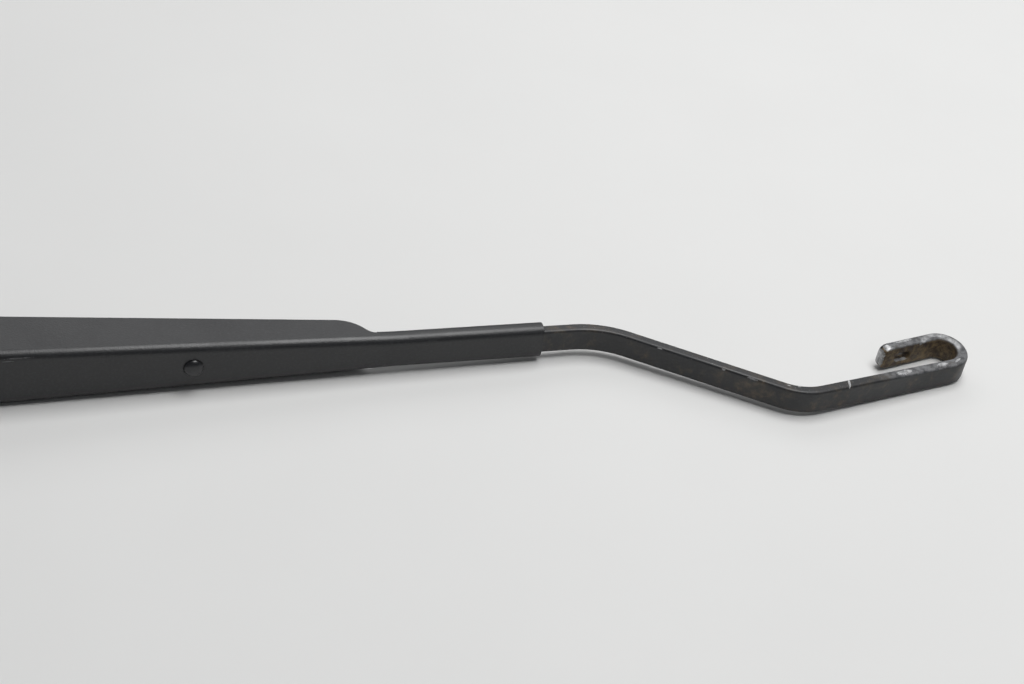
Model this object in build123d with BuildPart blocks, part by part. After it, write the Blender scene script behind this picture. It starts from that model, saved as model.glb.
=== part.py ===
from build123d import *
from math import asin, atan2, cos, degrees, radians, sin, sqrt
import os

# Windscreen wiper arm, in millimetres, lying on its side.
# X runs along the arm from the spindle to the hook, Y points to the glass and Z across the arm.
# The origin is on the spindle's axis, at the face that the spindle nut bears on.

# Sheet and bar stock
sheet = 1.2
bend_radius = 1.6
bar_width = 9.0
bar_thick = 4.0
bar_edge = 1.0
bar_side_gap = 0.6

# Channel
hinge_x = 50.0
web_rise = 10.0
hinge_depth = 8.5
channel_width = 23.2
channel_depth = 23.0
parallel_length = 22.0
width_taper_length = 172.2
depth_taper_length = 153.0
shoulder_depth = 11.9
shoulder_length = 11.0
sleeve_length = 59.5
wall_end_radius = 10.5
wall_corner_radius = 7.0
web_setback = 2.0
seam_gap = 0.6

# Bar bends, from the sleeve's mouth to the hook's tip
mouth_length = 11.5
lift_bend_radius = 30.9
lift_bend_angle = 35.8
rise_length = 55.6
fall_bend_radius = 18.1
fall_bend_angle = 44.5
strand_length = 55.4
hook_strand_radius = 6.4
hook_return_radius = 4.4
hook_half_turn = 91.0
return_length = 22.8
tip_radius = 1.8
tip_edge = 1.2
blade_slot_length = 7.6
blade_slot_width = 3.8
blade_slot_from_tip = 8.8

# Bar's inner end, where the spring hooks in
rivet_from_mouth = 118.0
joggle_from_rivet = 5.0
joggle_height = 4.4
joggle_radius = 6.0
joggle_angle = 40.0
tab_length = 8.0
tab_hole_from_end = 5.0

# Rivet through the web and the bar
rivet_shank = 4.0
rivet_head = 6.6
rivet_dome = 1.7
rivet_tail = 1.2

# Hinge pin and its flanged bushes
hinge_pin_diameter = 6.0
pin_head_diameter = 9.0
pin_head_height = 0.7
pin_head_chamfer = 0.4
running_clearance = 0.05
bush_wall = 0.95
bush_flange_diameter = 13.0
bush_flange = 0.8
side_clearance = 0.1
stop_clearance = 0.1

# Head casting
spindle_bore = 8.4
bore_length = 5.0
seat_small = 10.4
seat_large = 12.4
boss_height = 16.0
nut_pad_diameter = 16.0
nut_pad_height = 0.8
neck_bottom = 9.0
neck_end_gap = 0.9
fork_length = 7.0
fork_slot = 8.0
fork_root = 9.0
fork_corner = 6.0
fork_rim = 0.8
notch_floor = 1.5
pocket_start = 16.0
pocket_end = 30.0
pocket_width = 14.0
pocket_roof = 4.0
pocket_corner = 3.0
cast_radius = 1.5

# Over-centre spring, its link and its anchor pin
lift_range = 80.0
anchor_radius = 6.5
over_centre_angle = 66.0
anchor_diameter = 4.0
link_thick = 2.4
link_width = 5.0
link_room = 0.6
link_tip_angle = 100.0
link_exit_angle = 60.0
link_exit_radius = 4.0
link_shank = 16.5
shank_in_coil = 9.5
wire = 1.8
wire_room = 0.35
coil_diameter = 8.4
coil_pitch = 3.0
coil_turns = 21
hook_bend_radius = 1.5
hook_leg = 4.0

# Nut cap
cap_wall = 1.6
cap_height = 11.5
cap_lift = 0.3
cap_crown = 2.5
cap_pivot_x = 35.0
cap_pivot_rise = 6.0
cap_front_setback = 2.5
cap_ear_radius = 4.0
lug_radius = 3.6
trunnion_diameter = 4.0
trunnion_length = 3.0
trunnion_end_gap = 0.2

# Places that follow from the sizes above
web_y = -web_rise
inner_web_y = web_y + sheet
hinge_y = web_y + hinge_depth
free_edge_y = web_y + channel_depth
half_channel = channel_width / 2
half_inside = half_channel - sheet
half_tongue = half_inside - bush_flange - side_clearance
half_sleeve_bore = bar_width / 2 + bar_side_gap
half_sleeve = half_sleeve_bore + sheet
sleeve_bottom_y = inner_web_y + bar_thick + sheet
bar_y = inner_web_y + bar_thick / 2
taper_x = hinge_x + parallel_length
narrow_x = taper_x + width_taper_length
shoulder_start_x = taper_x + depth_taper_length
shoulder_x = shoulder_start_x + shoulder_length
mouth_x = shoulder_x + sleeve_length
rivet_x = mouth_x - rivet_from_mouth
wall_end_x = hinge_x - wall_end_radius
neck_end_x = wall_end_x - neck_end_gap
cheek_radius = hinge_depth - sheet - stop_clearance
bush_radius = hinge_pin_diameter / 2 + running_clearance + bush_wall
cap_pivot_y = -cap_pivot_rise
deck_y = nut_pad_height
across = Vector(0, 0, 1)
cut_margin = 1.0
face_tolerance = 0.01

# The spring pulls along the line from the anchor pin to the hole in the bar's tab
hinge = Vector(hinge_x, hinge_y)
anchor = hinge + Vector(-anchor_radius, 0).rotate(Axis.Z, -over_centre_angle)
joggle_slope = (joggle_height / sin(radians(joggle_angle))
                - 2 * joggle_radius * (1 - cos(radians(joggle_angle))) / sin(radians(joggle_angle)))
joggle_run = 2 * joggle_radius * sin(radians(joggle_angle)) + joggle_slope * cos(radians(joggle_angle))
tab_y = bar_y + joggle_height
tab_end_x = rivet_x - joggle_from_rivet - joggle_run
tab_start_x = tab_end_x - tab_length
tab_hole = Vector(tab_start_x + tab_hole_from_end, tab_y)
pull = (tab_hole - anchor).normalized()
pull_side = pull.rotate(Axis.Z, 90)
pull_length = (tab_hole - anchor).length
pull_angle = degrees(atan2(pull.Y, pull.X))

# Lifting the arm swings the link about the anchor pin and stretches the spring
lifted_pull = hinge + (tab_hole - hinge).rotate(Axis.Z, -lift_range) - anchor
link_swing = pull_angle - degrees(atan2(lifted_pull.Y, lifted_pull.X))
spring_stretch = (tab_hole - hinge).length + anchor_radius - pull_length


def plan_plane(y):
    """Plane seen from outside the arm, whose normal points to the glass."""
    return Plane(origin=(0, y, 0), x_dir=(1, 0, 0), z_dir=(0, 1, 0))


def start_plane(path):
    """Plane square to the start of a path, with its first axis across the arm."""
    return Plane(origin=path @ 0, x_dir=across, z_dir=path % 0)


def ahead(path, length):
    """Point that lies straight on from the end of a path."""
    return path @ 1 + (path % 1) * length


# Channel, folded from sheet: a tapering trough whose outer end is folded round the bar
def channel_plan(y, inset, start_x, end_x):
    """Outline seen from outside, inset from the channel's outer faces."""
    with BuildSketch(plan_plane(y)) as plan:
        with BuildLine():
            Polyline(
                (start_x, 0),
                (start_x, half_channel - inset),
                (taper_x, half_channel - inset),
                (narrow_x, half_sleeve - inset),
                (end_x, half_sleeve - inset),
                (end_x, 0),
            )
            mirror(about=Plane.XZ)
        make_face()
    return plan.sketch


def channel_side():
    """Outline seen across the arm: round wall ends, tapering free edge, shoulder and sleeve."""
    web_turn = degrees(asin(hinge_depth / wall_end_radius))
    with BuildSketch() as side:
        with BuildLine():
            wall_end = CenterArc((hinge_x, hinge_y), wall_end_radius, 180, web_turn)
            down = Line(wall_end @ 0, (wall_end_x, free_edge_y - wall_corner_radius))
            corner = JernArc(down @ 1, down % 1, wall_corner_radius, -90)
            Line(corner @ 1, (taper_x, free_edge_y))
            taper = Line((taper_x, free_edge_y), (shoulder_start_x, web_y + shoulder_depth))
            TangentArc((taper @ 1, (shoulder_x, sleeve_bottom_y)), tangent=taper % 1)
            Polyline(
                (shoulder_x, sleeve_bottom_y),
                (mouth_x, sleeve_bottom_y),
                (mouth_x, web_y),
                wall_end @ 1,
            )
        make_face()
    return side.sketch


with BuildPart() as channel_hollow:
    extrude(
        channel_plan(inner_web_y, sheet, wall_end_x - cut_margin, mouth_x),
        amount=channel_depth,
    )
    split(bisect_by=Plane.YZ.offset(shoulder_x), keep=Keep.BOTTOM)
    fillet(
        channel_hollow.edges()
        .filter_by_position(Axis.Y, inner_web_y - face_tolerance, inner_web_y + face_tolerance)
        .filter_by(Axis.Z, reverse=True),
        bend_radius,
    )

with BuildPart() as channel:
    extrude(channel_plan(web_y, 0, wall_end_x, mouth_x), amount=channel_depth)
    extrude(channel_side(), amount=half_channel, both=True, mode=Mode.INTERSECT)
    folds = ShapeList()
    for fold_y in (web_y, sleeve_bottom_y):
        folds += channel.edges().filter_by_position(Axis.Y, fold_y - face_tolerance, fold_y + face_tolerance)
    fillet(folds.filter_by(Axis.Z, reverse=True), sheet + bend_radius)
    add(channel_hollow.part, mode=Mode.SUBTRACT)
    # bore of the sleeve, and the seam where its two flanges meet
    with BuildSketch(Plane.YZ.offset(shoulder_x - cut_margin)):
        with Locations((bar_y, 0)):
            RectangleRounded(bar_thick, 2 * half_sleeve_bore, bend_radius)
        with Locations((sleeve_bottom_y, 0)):
            Rectangle(2 * sheet + 2 * bend_radius, seam_gap)
    extrude(amount=sleeve_length + 2 * cut_margin, mode=Mode.SUBTRACT)
    # the web stops short of the hinge, so that the arm can fold back
    with BuildSketch(plan_plane(web_y)):
        with Locations(((wall_end_x + hinge_x + web_setback) / 2, 0)):
            Rectangle(wall_end_radius + web_setback, 2 * half_inside)
        with Locations((rivet_x, 0)):
            Circle(rivet_shank / 2)
    extrude(amount=sheet + bend_radius, mode=Mode.SUBTRACT)
    with Locations((hinge_x, hinge_y)):
        Cylinder(hinge_pin_diameter / 2, channel_width, mode=Mode.SUBTRACT)

# Bar: one flat strip from the spring's tab to the hook's tip
with BuildPart() as arm_bar:
    with BuildLine() as bar_path:
        tab = Line((tab_start_x, tab_y), (tab_end_x, tab_y))
        turn_in = JernArc(tab @ 1, tab % 1, joggle_radius, -joggle_angle)
        slope = Line(turn_in @ 1, ahead(turn_in, joggle_slope))
        turn_out = JernArc(slope @ 1, slope % 1, joggle_radius, joggle_angle)
        run = Line(turn_out @ 1, (mouth_x + mouth_length, bar_y))
        lift_bend = JernArc(run @ 1, run % 1, lift_bend_radius, -lift_bend_angle)
        rise = Line(lift_bend @ 1, ahead(lift_bend, rise_length))
        fall_bend = JernArc(rise @ 1, rise % 1, fall_bend_radius, fall_bend_angle)
        strand = Line(fall_bend @ 1, ahead(fall_bend, strand_length))
        wide_turn = JernArc(strand @ 1, strand % 1, hook_strand_radius + bar_thick / 2, hook_half_turn)
        tight_turn = JernArc(wide_turn @ 1, wide_turn % 1, hook_return_radius + bar_thick / 2, hook_half_turn)
        back = Line(tight_turn @ 1, ahead(tight_turn, return_length))
    with BuildSketch(start_plane(bar_path.line)):
        RectangleRounded(bar_width, bar_thick, bar_edge)
    sweep()
    tip_plane = Plane(origin=back @ 1, x_dir=back % 1, z_dir=(back % 1).rotate(Axis.Z, 90))
    # tip rounded in both views, and the slot for the blade's catch
    with BuildSketch(tip_plane):
        Rectangle(2 * tip_radius, bar_width + 2 * cut_margin)
        with Locations((-return_length / 2, 0)):
            RectangleRounded(return_length, bar_width, tip_radius, mode=Mode.SUBTRACT)
        with Locations((-blade_slot_from_tip, 0)):
            SlotOverall(blade_slot_length, blade_slot_width)
    extrude(amount=bar_thick, both=True, mode=Mode.SUBTRACT)
    with BuildSketch(Plane(origin=back @ 1, x_dir=back % 1, z_dir=across)):
        Rectangle(2 * tip_edge, bar_thick + 2 * cut_margin)
        with Locations((-return_length / 2, 0)):
            RectangleRounded(return_length, bar_thick, tip_edge, mode=Mode.SUBTRACT)
    extrude(amount=bar_width, both=True, mode=Mode.SUBTRACT)
    with BuildSketch(plan_plane(bar_y)):
        with Locations((rivet_x, 0)):
            Circle(rivet_shank / 2)
        with Locations((tab_hole.X, 0)):
            Circle(wire / 2 + wire_room)
    extrude(amount=bar_thick + joggle_height, both=True, mode=Mode.SUBTRACT)

# Rivet: domed outside the web, flattened inside the bar
with BuildPart() as bar_rivet:
    with BuildSketch():
        with BuildLine():
            dome = TangentArc(
                ((rivet_x, web_y - rivet_dome), (rivet_x + rivet_head / 2, web_y)),
                tangent=(1, 0),
            )
            Polyline(
                dome @ 1,
                (rivet_x + rivet_shank / 2, web_y),
                (rivet_x + rivet_shank / 2, bar_y + bar_thick / 2),
                (rivet_x + rivet_head / 2, bar_y + bar_thick / 2),
                (rivet_x + rivet_shank / 2, bar_y + bar_thick / 2 + rivet_tail),
                (rivet_x, bar_y + bar_thick / 2 + rivet_tail),
                dome @ 0,
            )
        make_face()
    revolve(axis=Axis((rivet_x, 0, 0), (0, 1, 0)))

# Hinge pin, riveted over outside the channel's walls
with BuildPart() as hinge_pin:
    with Locations((hinge_x, hinge_y)):
        Cylinder(hinge_pin_diameter / 2, channel_width)
    for side in (1, -1):
        with Locations((hinge_x, hinge_y, side * (half_channel + pin_head_height / 2))):
            Cylinder(pin_head_diameter / 2, pin_head_height)
    chamfer(
        hinge_pin.edges().group_by(Axis.Z)[-1] + hinge_pin.edges().group_by(Axis.Z)[0],
        pin_head_chamfer,
    )


# Bushes: a sleeve in each cheek of the fork, with a flange against the channel's wall
def hinge_bush(side):
    """One flanged bush, on the upper side of the arm for 1 and the lower side for -1."""
    with BuildPart() as bush:
        with BuildSketch(Plane.XY.offset(side * fork_slot / 2)):
            with Locations((hinge_x, hinge_y)):
                Circle(bush_radius)
        extrude(amount=side * (half_tongue - fork_slot / 2))
        with BuildSketch(Plane.XY.offset(side * half_tongue)):
            with Locations((hinge_x, hinge_y)):
                Circle(bush_flange_diameter / 2)
        extrude(amount=side * bush_flange)
        with Locations((hinge_x, hinge_y)):
            Cylinder(hinge_pin_diameter / 2 + running_clearance, channel_width, mode=Mode.SUBTRACT)
    return bush.part


hinge_bush_upper = hinge_bush(1)
hinge_bush_lower = hinge_bush(-1)


# Head casting: spindle boss, neck, cap lugs and hinge fork
def tongue_side():
    """Outline of the narrow part across the arm, from the boss to the fork's front."""
    notch_turn = degrees(asin(notch_floor / cheek_radius))
    fork_front_x = hinge_x + fork_length
    with BuildSketch() as side:
        with BuildLine():
            lug = CenterArc((cap_pivot_x, cap_pivot_y), lug_radius, 180, 180)
            cheek = CenterArc((hinge_x, hinge_y), cheek_radius, 180 + notch_turn, 90 - notch_turn)
            Polyline(lug @ 1, (cap_pivot_x + lug_radius, hinge_y - notch_floor), cheek @ 0)
            front = Polyline(
                cheek @ 1,
                (fork_front_x, hinge_y - cheek_radius),
                (fork_front_x, neck_bottom - fork_corner),
            )
            corner = JernArc(front @ 1, (0, 1), fork_corner, 90)
            Polyline(corner @ 1, (0, neck_bottom), (0, deck_y), (cap_pivot_x - lug_radius, deck_y), lug @ 0)
        make_face()
    return side.sketch


with BuildPart() as arm_head:
    with BuildSketch(plan_plane(deck_y)):
        Circle(half_channel)
        with Locations((neck_end_x / 2, 0)):
            Rectangle(neck_end_x, channel_width)
    extrude(amount=neck_bottom - deck_y)
    with BuildSketch(plan_plane(deck_y)):
        Circle(half_channel)
    extrude(amount=boss_height - deck_y)
    fillet(arm_head.edges().sort_by(Axis.Y)[-1], cast_radius)
    extrude(tongue_side(), amount=half_tongue, both=True)
    # rims of the fork, rounded to lie inside the channel's folds
    fillet(arm_head.edges().filter_by(Axis.X).group_by(Axis.Y)[0], fork_rim)
    # raised pad that the spindle nut bears on
    with BuildSketch(plan_plane(0)):
        Circle(nut_pad_diameter / 2)
    extrude(amount=deck_y)
    # lightening pocket under the neck
    with BuildSketch(plan_plane(pocket_roof)):
        with Locations(((pocket_start + pocket_end) / 2, 0)):
            RectangleRounded(pocket_end - pocket_start, pocket_width, pocket_corner)
    extrude(amount=neck_bottom, mode=Mode.SUBTRACT)
    # spindle bore and its tapered seat
    with BuildSketch(plan_plane(0)):
        Circle(spindle_bore / 2)
    extrude(amount=boss_height, mode=Mode.SUBTRACT)
    with Locations(plan_plane((bore_length + boss_height) / 2)):
        Cone(seat_small / 2, seat_large / 2, boss_height - bore_length, mode=Mode.SUBTRACT)
    # slot of the fork, and the bores through its cheeks
    with BuildSketch():
        with Locations((hinge_x - fork_root, hinge_y)):
            Rectangle(
                fork_root + fork_length + cut_margin,
                2 * boss_height,
                align=(Align.MIN, Align.CENTER),
            )
    extrude(amount=fork_slot / 2, both=True, mode=Mode.SUBTRACT)
    with Locations((hinge_x, hinge_y)):
        Cylinder(bush_radius, channel_width, mode=Mode.SUBTRACT)
    with Locations((anchor.X, anchor.Y)):
        Cylinder(anchor_diameter / 2, channel_width, mode=Mode.SUBTRACT)
    # blind holes for the cap's trunnions
    trunnion_reach = half_channel - cap_wall - trunnion_length - trunnion_end_gap
    for side in (1, -1):
        with BuildSketch(Plane.XY.offset(side * trunnion_reach)):
            with Locations((cap_pivot_x, cap_pivot_y)):
                Circle(trunnion_diameter / 2 + running_clearance)
        extrude(amount=side * trunnion_length, mode=Mode.SUBTRACT)

# Anchor pin, pressed through both cheeks
with BuildPart() as anchor_pin:
    with Locations((anchor.X, anchor.Y)):
        Cylinder(anchor_diameter / 2, 2 * half_tongue)

# Link: a strip hooked on the anchor pin, arched clear of the hinge pin at full lift, with a slotted shank
wrap_radius = anchor_diameter / 2 + running_clearance + link_thick / 2
crown_radius = hinge_pin_diameter / 2 + link_room + link_thick / 2
crown_angle = link_swing - over_centre_angle - pull_angle
rise_angle = crown_angle + degrees(asin((crown_radius - wrap_radius) / anchor_radius))
rise_run = sqrt(anchor_radius**2 - (crown_radius - wrap_radius) ** 2)
wrap_turn = 270 - link_tip_angle - rise_angle
exit_turn = radians(link_exit_angle)
exit_drop = (anchor_radius * sin(radians(crown_angle)) + crown_radius * cos(exit_turn)
             - link_exit_radius * (1 - cos(exit_turn)))
exit_run = exit_drop / sin(exit_turn)
shank_start = (anchor_radius * cos(radians(crown_angle)) + exit_run * cos(exit_turn)
               + (crown_radius + link_exit_radius) * sin(exit_turn))
coil_start = shank_start + link_shank - shank_in_coil
slot_length = wire + 2 * wire_room + spring_stretch

with BuildPart() as spring_link:
    with BuildLine() as link_path:
        tip = anchor + pull.rotate(Axis.Z, -link_tip_angle) * wrap_radius
        wrap = JernArc(tip, pull.rotate(Axis.Z, 270 - link_tip_angle), wrap_radius, -wrap_turn)
        flank = Line(wrap @ 1, ahead(wrap, rise_run))
        crown = JernArc(flank @ 1, flank % 1, crown_radius, -(rise_angle + link_exit_angle))
        drop = Line(crown @ 1, ahead(crown, exit_run))
        level = JernArc(drop @ 1, drop % 1, link_exit_radius, link_exit_angle)
        Line(level @ 1, ahead(level, link_shank))
    with BuildSketch(start_plane(link_path.line)):
        Rectangle(link_width, link_thick)
    sweep()
    slot_centre = anchor + pull * (coil_start + spring_stretch / 2)
    with BuildSketch(Plane(origin=slot_centre, x_dir=pull, z_dir=pull_side)):
        SlotOverall(slot_length, wire + 2 * wire_room)
    extrude(amount=link_thick, both=True, mode=Mode.SUBTRACT)

# Tension spring, made along Z from the anchor pin and then laid on the line that it pulls along
coil_radius = coil_diameter / 2
coil_end = coil_start + coil_pitch * coil_turns
with BuildPart() as spring_wire:
    with BuildLine() as coil_path:
        Helix(coil_pitch, coil_end - coil_start, coil_radius, center=(0, 0, coil_start))
    with BuildSketch(Plane(origin=coil_path.line @ 0, z_dir=coil_path.line % 0)):
        Circle(wire / 2)
    sweep(is_frenet=True)
    # the inner end crosses the coil through the link's slot
    with BuildSketch(Plane.YZ.offset(coil_radius)):
        with Locations((0, coil_start)):
            Circle(wire / 2)
    extrude(amount=-(coil_diameter - wire))
    # the outer end runs on to the bar and turns through the hole in its tab
    with BuildLine(Plane.XZ) as hook_path:
        FilletPolyline(
            (coil_radius, coil_end),
            (coil_radius, pull_length),
            (-coil_radius, pull_length),
            (-coil_radius, pull_length - hook_bend_radius - hook_leg),
            radius=hook_bend_radius,
        )
    with BuildSketch(Plane.XY.offset(coil_end)):
        with Locations((coil_radius, 0)):
            Circle(wire / 2)
    sweep(path=hook_path.line)
    with Locations((coil_radius, 0, coil_start), (coil_radius, 0, coil_end)):
        Sphere(wire / 2)
pull_plane = Plane(origin=anchor, x_dir=pull_side, z_dir=pull)
tension_spring = pull_plane.location * spring_wire.part


# Nut cap: a moulded shell with two ears, whose trunnions snap into the head's lugs
def cap_side():
    """Outline across the arm: the skirt, the round ears and the crown's front edge."""
    with BuildSketch() as side:
        with BuildLine():
            ear = CenterArc((cap_pivot_x, cap_pivot_y), cap_ear_radius, 90, -180)
            Polyline(
                ear @ 1,
                (cap_pivot_x - cap_front_setback, -cap_height),
                (-half_channel, -cap_height),
                (-half_channel, deck_y - cap_lift),
                (cap_pivot_x - cap_ear_radius, deck_y - cap_lift),
                ear @ 0,
            )
        make_face()
    return side.sketch


with BuildPart() as nut_cap:
    with BuildSketch(plan_plane(-cap_height)):
        Circle(half_channel)
        Rectangle(cap_pivot_x + cap_ear_radius, channel_width, align=(Align.MIN, Align.CENTER))
    extrude(amount=cap_height + deck_y - cap_lift)
    crown_edges = nut_cap.edges().group_by(Axis.Y)[0].filter_by(Axis.Z, reverse=True)
    fillet(crown_edges, cap_crown)
    openings = nut_cap.faces().sort_by(Axis.Y)[-1:] + nut_cap.faces().sort_by(Axis.X)[-1:]
    offset(amount=-cap_wall, openings=openings)
    extrude(cap_side(), amount=half_channel, both=True, mode=Mode.INTERSECT)
    for side in (1, -1):
        with BuildSketch(Plane.XY.offset(side * (half_channel - cap_wall / 2))):
            with Locations((cap_pivot_x, cap_pivot_y)):
                Circle(trunnion_diameter / 2)
        extrude(amount=-side * (trunnion_length + cap_wall / 2))

# Each piece is written under its own name
pieces = {
    "arm_head": arm_head.part,
    "hinge_bush_upper": hinge_bush_upper,
    "hinge_bush_lower": hinge_bush_lower,
    "anchor_pin": anchor_pin.part,
    "nut_cap": nut_cap.part,
    "spring_link": spring_link.part,
    "tension_spring": tension_spring,
    "hinge_pin": hinge_pin.part,
    "channel": channel.part,
    "arm_bar": arm_bar.part,
    "bar_rivet": bar_rivet.part,
}
os.makedirs("parts", exist_ok=True)
for name, piece in pieces.items():
    piece.label = name
    export_step(piece, f"parts/{name}.step")

print("hinge", hinge, "anchor", anchor, "tab hole", tab_hole)
print("link swings", link_swing, "for a lift of", lift_range, "and the spring stretches", spring_stretch)
hook_centre = (wide_turn.arc_center + tight_turn.arc_center) / 2
print("pull angle", pull_angle, "hook centre", hook_centre, "tip", back @ 1, "mouth", mouth_x)
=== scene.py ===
# %% [markdown]
# # A windscreen wiper arm
# The arm is a folded steel channel that hinges on a small die-cast head. A flat steel bar is
# folded into the channel's outer end, kinks twice and ends in the U-shaped hook that carries
# the blade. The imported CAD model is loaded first, because every piece made here sits on it.

# %% Load the frame
import bpy
import bmesh
from math import atan2, cos, degrees, pi, radians, sin, sqrt, tan
from mathutils import Matrix, Vector


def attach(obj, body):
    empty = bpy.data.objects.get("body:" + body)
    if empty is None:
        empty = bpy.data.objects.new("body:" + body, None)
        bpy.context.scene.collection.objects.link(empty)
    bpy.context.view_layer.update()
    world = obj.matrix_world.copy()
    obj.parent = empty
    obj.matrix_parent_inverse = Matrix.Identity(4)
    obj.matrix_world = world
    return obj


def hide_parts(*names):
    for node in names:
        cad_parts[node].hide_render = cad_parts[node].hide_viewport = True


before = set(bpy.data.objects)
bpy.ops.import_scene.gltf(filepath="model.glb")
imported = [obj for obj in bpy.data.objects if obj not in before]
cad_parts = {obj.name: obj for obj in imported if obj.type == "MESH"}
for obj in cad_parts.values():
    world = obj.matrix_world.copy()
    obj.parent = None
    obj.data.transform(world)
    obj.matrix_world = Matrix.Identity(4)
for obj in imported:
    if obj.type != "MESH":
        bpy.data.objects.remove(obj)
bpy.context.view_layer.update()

MM = 0.001
print("CAD nodes:", sorted(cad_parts))

# %% [markdown]
# ## Camera
# The view was solved from the straight edges of the arm, so the camera is given by its place in
# millimetres and by its turn about the three axes in degrees. The image is 1024 pixels wide, and
# the lens follows from a focal length of 1700 pixels. A look-at target would be easier to aim, but
# it can't hold the slight roll of a camera in the hand.

# %% Camera
IMAGE_WIDTH = 1024
FOCAL_PIXELS = 1700.0
SENSOR = 36.0
CAMERA_PLACE = (108.326, -432.270, 347.947)
CAMERA_TURN = (52.457, -8.227, -16.322)
NEAREST_SEEN = 0.01

camera_data = bpy.data.cameras.new("photo_camera")
camera_data.sensor_width = SENSOR
camera_data.sensor_fit = "HORIZONTAL"
camera_data.lens = FOCAL_PIXELS * SENSOR / IMAGE_WIDTH
camera_data.clip_start = NEAREST_SEEN
camera = bpy.data.objects.new("photo_camera", camera_data)
bpy.context.scene.collection.objects.link(camera)
camera.location = [c * MM for c in CAMERA_PLACE]
camera.rotation_euler = [radians(angle) for angle in CAMERA_TURN]
bpy.context.scene.camera = camera
print("lens:", round(camera_data.lens, 2), "mm")

# %% [markdown]
# ## Floor
# The arm lies on its side. The hinge pin's head is the lowest point at one end and the hook is
# the lowest at the other, so the floor is a plane through those two, tilted by about a degree
# against the arm's own axes. It is a large plain disc, pale and a little rough, with its radius in
# metres. Each foot below is a place along the arm and a height, in millimetres.

# %% Floor
PIN_HEAD_FOOT = (50.0, -12.45)
HOOK_FOOT = (446.0, -4.55)
FLOOR_RADIUS = 4.0
FLOOR_FACETS = 96
floor_slope = (HOOK_FOOT[1] - PIN_HEAD_FOOT[1]) / (HOOK_FOOT[0] - PIN_HEAD_FOOT[0])
floor_z = PIN_HEAD_FOOT[1] - floor_slope * PIN_HEAD_FOOT[0]


def deselect_all():
    """Leaves edit mode and clears the selection, so that an operator acts on one object only."""
    if bpy.context.mode != "OBJECT":
        bpy.ops.object.mode_set(mode="OBJECT")
    bpy.ops.object.select_all(action="DESELECT")


deselect_all()
bpy.ops.mesh.primitive_circle_add(vertices=FLOOR_FACETS, radius=FLOOR_RADIUS, fill_type="NGON",
                                  location=(0, 0, floor_z * MM), rotation=(0, -atan2(floor_slope, 1), 0))
floor = bpy.context.object
floor.name = "floor"
print("floor tilt:", round(degrees(atan2(floor_slope, 1)), 2), "degrees")

# %% [markdown]
# ## Light
# Black paint shows its lights more than its own colour. A broad soft light high over the arm draws
# the bright band along the folds, and a weaker one low behind it turns the flat upper faces to grey.
# The web mirrors the floor and stays dark. A faint front light and a pale sky open the shadows.
# Area lights are used rather than points or a sun, because satin paint mirrors the shape of a light.
# Their places and sizes are in metres.

# %% Light
def soft_light(name, place, target, size, power):
    """Adds one rectangular area light that faces a point."""
    data = bpy.data.lights.new(name, "AREA")
    data.shape = "RECTANGLE"
    data.size, data.size_y = size
    data.energy = power
    lamp = bpy.data.objects.new(name, data)
    bpy.context.scene.collection.objects.link(lamp)
    lamp.location = place
    lamp.rotation_euler = (Vector(target) - Vector(place)).to_track_quat("-Z", "Y").to_euler()


ARM_MIDDLE = (0.28, -0.01, 0.0)
UNDER_OVERHEAD = (0.60, 0.05, 0.0)
SKY_COLOUR = (0.93, 0.95, 1.0, 1.0)
SKY_STRENGTH = 0.11
soft_light("overhead_softbox", place=(0.60, 0.05, 1.31), target=UNDER_OVERHEAD, size=(0.66, 1.1), power=17.5)
soft_light("back_softbox", place=(0.45, 1.25, 0.95), target=ARM_MIDDLE, size=(1.6, 0.7), power=5.0)
soft_light("front_softbox", place=(0.6, -1.0, 1.1), target=ARM_MIDDLE, size=(1.3, 0.6), power=0.5)

world = bpy.data.worlds.new("pale_sky")
bpy.context.scene.world = world
world.use_nodes = True
world.node_tree.nodes["Background"].inputs["Color"].default_value = SKY_COLOUR
world.node_tree.nodes["Background"].inputs["Strength"].default_value = SKY_STRENGTH
bpy.context.scene.view_settings.view_transform = "Standard"

# %% [markdown]
# ## Finishes: small helpers
# Every finish is built from nodes that read Object coordinates, so a pattern stays on the piece
# wherever the camera goes. These helpers add a node or two each, so that a finish further down reads
# as one line for each thing that it shows.

# %% Finish helpers
def new_finish(name):
    """A new material with its shader and its object coordinates."""
    finish = bpy.data.materials.new(name)
    finish.use_nodes = True
    tree = finish.node_tree
    place = tree.nodes.new("ShaderNodeTexCoord").outputs["Object"]
    return finish, tree, tree.nodes["Principled BSDF"], place


def feed(tree, socket, value):
    """Sets a socket to a number, colour or vector, or links another node's output to it."""
    if hasattr(value, "is_output"):
        tree.links.new(value, socket)
    else:
        socket.default_value = value


def noise(tree, place, per_metre, detail=3.0, rough=0.55, stretch=(1, 1, 1)):
    """Cloudy pattern from 0 to 1, with a number of cells per metre."""
    scaled = tree.nodes.new("ShaderNodeMapping")
    tree.links.new(place, scaled.inputs["Vector"])
    scaled.inputs["Scale"].default_value = stretch
    cloud = tree.nodes.new("ShaderNodeTexNoise")
    tree.links.new(scaled.outputs["Vector"], cloud.inputs["Vector"])
    cloud.inputs["Scale"].default_value = per_metre
    cloud.inputs["Detail"].default_value = detail
    cloud.inputs["Roughness"].default_value = rough
    return cloud.outputs["Fac"]


def spread(tree, value, low, high, to_low=0.0, to_high=1.0):
    """Maps a range onto another one, smoothly and without overshoot."""
    mapped = tree.nodes.new("ShaderNodeMapRange")
    mapped.interpolation_type = "SMOOTHSTEP"
    tree.links.new(value, mapped.inputs["Value"])
    mapped.inputs["From Min"].default_value = low
    mapped.inputs["From Max"].default_value = high
    mapped.inputs["To Min"].default_value = to_low
    mapped.inputs["To Max"].default_value = to_high
    return mapped.outputs["Result"]


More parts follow.
